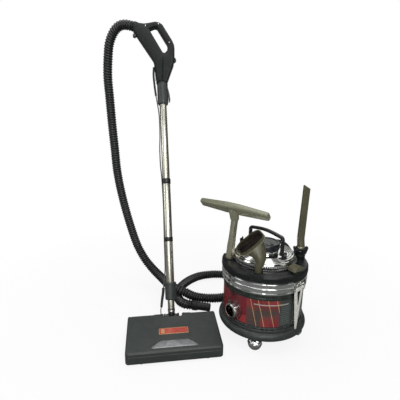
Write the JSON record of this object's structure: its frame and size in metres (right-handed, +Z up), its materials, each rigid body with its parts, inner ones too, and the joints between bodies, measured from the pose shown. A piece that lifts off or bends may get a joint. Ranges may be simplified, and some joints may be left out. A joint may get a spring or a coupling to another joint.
{
  "type": "canister vacuum cleaner",
  "caption": "Canister vacuum cleaner on ball casters with a stored tool caddy, ribbed hose, loop-grip wand and a motorised floor nozzle.",
  "frame": {"origin": "on the floor, on the vertical axis of the canister drum", "axes": "+Z up, -Y towards the front of the canister and the power nozzle, -X from the canister towards the wand and the hose"},
  "size_m": [0.899, 0.7003, 1.2756],
  "materials": {
    "rubber_black": "satin moulded rubber",
    "caddy_black": "satin moulded plastic",
    "chrome_trim": "polished",
    "nickel_tube": "brushed bright",
    "drum_paint": "semi-gloss",
    "label_red": "glossy printed film with plain stripes",
    "grey_band": "satin",
    "filter_paper": "matt cellulose",
    "motor_metal": "as cast",
    "fan_metal": "satin",
    "handle_black": "satin",
    "switch_dark": "glossy",
    "lever_cream": "semi-gloss cream silver",
    "tool_olive": "pearl olive grey",
    "bristle_dark": "hair tufts",
    "hose_black": "ribbed, semi-gloss",
    "grip_charcoal": "satin grained",
    "screw_steel": "zinc plated",
    "nozzle_green_grey": "satin grained",
    "base_black": "matt",
    "lens_clear": "glossy milky",
    "badge_orange": "glossy with pale border",
    "belt_rubber": "matt",
    "ball_black": "satin"
  },
  "bodies": {
    "canister": {"base_pan": "base_black", "bumper_ring": "rubber_black", "dirt_drum": "drum_paint", "label_wrap": "label_red", "inlet_port": "chrome_trim", "canister_screws": "screw_steel", "motor_deck": "grey_band", "filter_cone": "filter_paper", "motor_skirt": "chrome_trim", "motor_housing": "motor_metal", "louver_dome": "chrome_trim", "motor_cap": "caddy_black", "tool_caddy": "caddy_black", "crevice_clip": "caddy_black", "handle_brackets": "handle_black", "latch_brackets": "screw_steel", "cord_hook": "handle_black", "power_cord": "handle_black"},
    "fan": {"fan_rotor": "fan_metal"},
    "switch": {"power_switch": "switch_dark"},
    "carry_handle": {"carry_handle": "handle_black"},
    "latch_right": {"latch_lever_right": "lever_cream"},
    "latch_left": {"latch_lever_left": "lever_cream"},
    "caster_1": {"caster_hood_1": "chrome_trim"},
    "ball_1": {"caster_ball_1": "ball_black"},
    "caster_2": {"caster_hood_2": "chrome_trim"},
    "ball_2": {"caster_ball_2": "ball_black"},
    "caster_3": {"caster_hood_3": "chrome_trim"},
    "ball_3": {"caster_ball_3": "ball_black"},
    "caster_4": {"caster_hood_4": "chrome_trim"},
    "ball_4": {"caster_ball_4": "ball_black"},
    "floor_tool": {"floor_tool": "tool_olive", "floor_tool_bristles": "bristle_dark"},
    "dusting_brush": {"dusting_brush": "tool_olive", "dusting_bristles": "bristle_dark"},
    "crevice_tool": {"crevice_tool": "tool_olive"},
    "upholstery_tool": {"upholstery_tool": "tool_olive"},
    "hose_unit": {"hose": "hose_black", "hose_end_cuff": "grip_charcoal", "handle_shell_front": "grip_charcoal", "handle_shell_rear": "grip_charcoal", "handle_screws": "screw_steel", "upper_wand": "nickel_tube", "lower_wand": "nickel_tube", "wand_collars": "grip_charcoal", "wand_cord": "hose_black", "neck_tube": "nickel_tube", "neck_knuckle": "handle_black"},
    "suction_knob": {"suction_knob": "grip_charcoal"},
    "handle_switch": {"handle_switch": "grip_charcoal"},
    "wand_release": {"wand_release": "grip_charcoal"},
    "nozzle": {"nozzle_cover": "nozzle_green_grey", "nozzle_base": "base_black", "headlight_lens": "lens_clear", "name_badge": "badge_orange", "drive_belt": "belt_rubber", "nozzle_motor": "motor_metal"},
    "brush": {"brush_roll": "bristle_dark"},
    "motor_shaft": {"motor_pulley": "fan_metal"},
    "wheels": {"nozzle_wheels": "belt_rubber"}
  },
  "joints": [
    {"name": "fan_spin", "type": "hinge", "parent": "canister", "child": "fan", "pos_m": [0, 0, 0.29], "axis": [0, 0, 1], "continuous": true},
    {"name": "power_switch_rock", "type": "hinge", "parent": "canister", "child": "switch", "pos_m": [0.01094, -0.03007, 0.381], "axis": [-0.342, 0.9397, 0], "range_deg": [-5, 5]},
    {"name": "carry_handle_fold", "type": "hinge", "parent": "canister", "child": "carry_handle", "pos_m": [0, 0, 0.359], "axis": [-0.6018, 0.7986, 0], "range_deg": [-35, 35]},
    {"name": "latch_right_open", "type": "hinge", "parent": "canister", "child": "latch_right", "pos_m": [0.10528, -0.13475, 0.255], "axis": [-0.788, -0.6157, 0], "range_deg": [0, 110]},
    {"name": "latch_left_open", "type": "hinge", "parent": "canister", "child": "latch_left", "pos_m": [-0.10528, 0.13475, 0.255], "axis": [0.788, 0.6157, 0], "range_deg": [0, 110]},
    {"name": "caster_1_swivel", "type": "hinge", "parent": "canister", "child": "caster_1", "pos_m": [-0.0404, -0.12146, 0], "axis": [0, 0, 1], "continuous": true},
    {"name": "ball_1_roll", "type": "hinge", "parent": "caster_1", "child": "ball_1", "pos_m": [-0.04419, -0.13284, 0.022], "axis": [0.9489, -0.3156, 0], "continuous": true},
    {"name": "caster_2_swivel", "type": "hinge", "parent": "canister", "child": "caster_2", "pos_m": [0.12146, -0.0404, 0], "axis": [0, 0, 1], "continuous": true},
    {"name": "ball_2_roll", "type": "hinge", "parent": "caster_2", "child": "ball_2", "pos_m": [0.13284, -0.04419, 0.022], "axis": [0.3156, 0.9489, 0], "continuous": true},
    {"name": "caster_3_swivel", "type": "hinge", "parent": "canister", "child": "caster_3", "pos_m": [0.0404, 0.12146, 0], "axis": [0, 0, 1], "continuous": true},
    {"name": "ball_3_roll", "type": "hinge", "parent": "caster_3", "child": "ball_3", "pos_m": [0.04419, 0.13284, 0.022], "axis": [-0.9489, 0.3156, 0], "continuous": true},
    {"name": "caster_4_swivel", "type": "hinge", "parent": "canister", "child": "caster_4", "pos_m": [-0.12146, 0.0404, 0], "axis": [0, 0, 1], "continuous": true},
    {"name": "ball_4_roll", "type": "hinge", "parent": "caster_4", "child": "ball_4", "pos_m": [-0.13284, 0.04419, 0.022], "axis": [-0.3156, -0.9489, 0], "continuous": true},
    {"name": "floor_tool_lift", "type": "slide", "parent": "canister", "child": "floor_tool", "axis": [0.0889, -0.0244, 0.9957], "range_m": [0, 0.12]},
    {"name": "dusting_brush_lift", "type": "slide", "parent": "canister", "child": "dusting_brush", "axis": [0, 0, 1], "range_m": [0, 0.02]},
    {"name": "crevice_tool_lift", "type": "slide", "parent": "canister", "child": "crevice_tool", "axis": [0, 0, 1], "range_m": [0, 0.15]},
    {"name": "upholstery_tool_lift", "type": "slide", "parent": "canister", "child": "upholstery_tool", "axis": [0, 0, 1], "range_m": [0, 0.05]},
    {"name": "hose_unit_shift", "type": "slide", "parent": "canister", "child": "hose_unit", "axis": [-1, 0, 0], "range_m": [0, 0.25]},
    {"name": "suction_knob_turn", "type": "hinge", "parent": "hose_unit", "child": "suction_knob", "pos_m": [-0.56284, 0.39076, 1.20491], "axis": [0.1389, -0.9294, 0.342], "range_deg": [-60, 60]},
    {"name": "handle_switch_rock", "type": "hinge", "parent": "hose_unit", "child": "handle_switch", "pos_m": [-0.39019, 0.37887, 1.10248], "axis": [0.1389, -0.9294, 0.342], "range_deg": [-8, 8]},
    {"name": "wand_release_press", "type": "hinge", "parent": "hose_unit", "child": "wand_release", "pos_m": [-0.4125, 0.33196, 0.98408], "axis": [0.1389, -0.9294, 0.342], "range_deg": [0, 10]},
    {"name": "nozzle_tilt", "type": "hinge", "parent": "hose_unit", "child": "nozzle", "pos_m": [-0.37199, -0.00677, 0.04721], "axis": [0.989, 0.1478, 0], "range_deg": [-20, 50]},
    {"name": "brush_spin", "type": "hinge", "parent": "nozzle", "child": "brush", "pos_m": [-0.34669, -0.17605, 0.026], "axis": [0.989, 0.1478, 0], "continuous": true},
    {"name": "nozzle_motor_spin", "type": "hinge", "parent": "nozzle", "child": "motor_shaft", "pos_m": [-0.35896, -0.09396, 0.034], "axis": [0.989, 0.1478, 0], "continuous": true},
    {"name": "nozzle_wheels_roll", "type": "hinge", "parent": "nozzle", "child": "wheels", "pos_m": [-0.36354, -0.0633, 0.014], "axis": [0.989, 0.1478, 0], "continuous": true}
  ],
  "couplings": [
    {"joint": "nozzle_motor_spin", "follows": "brush_spin", "ratio": 2.1429}
  ]
}
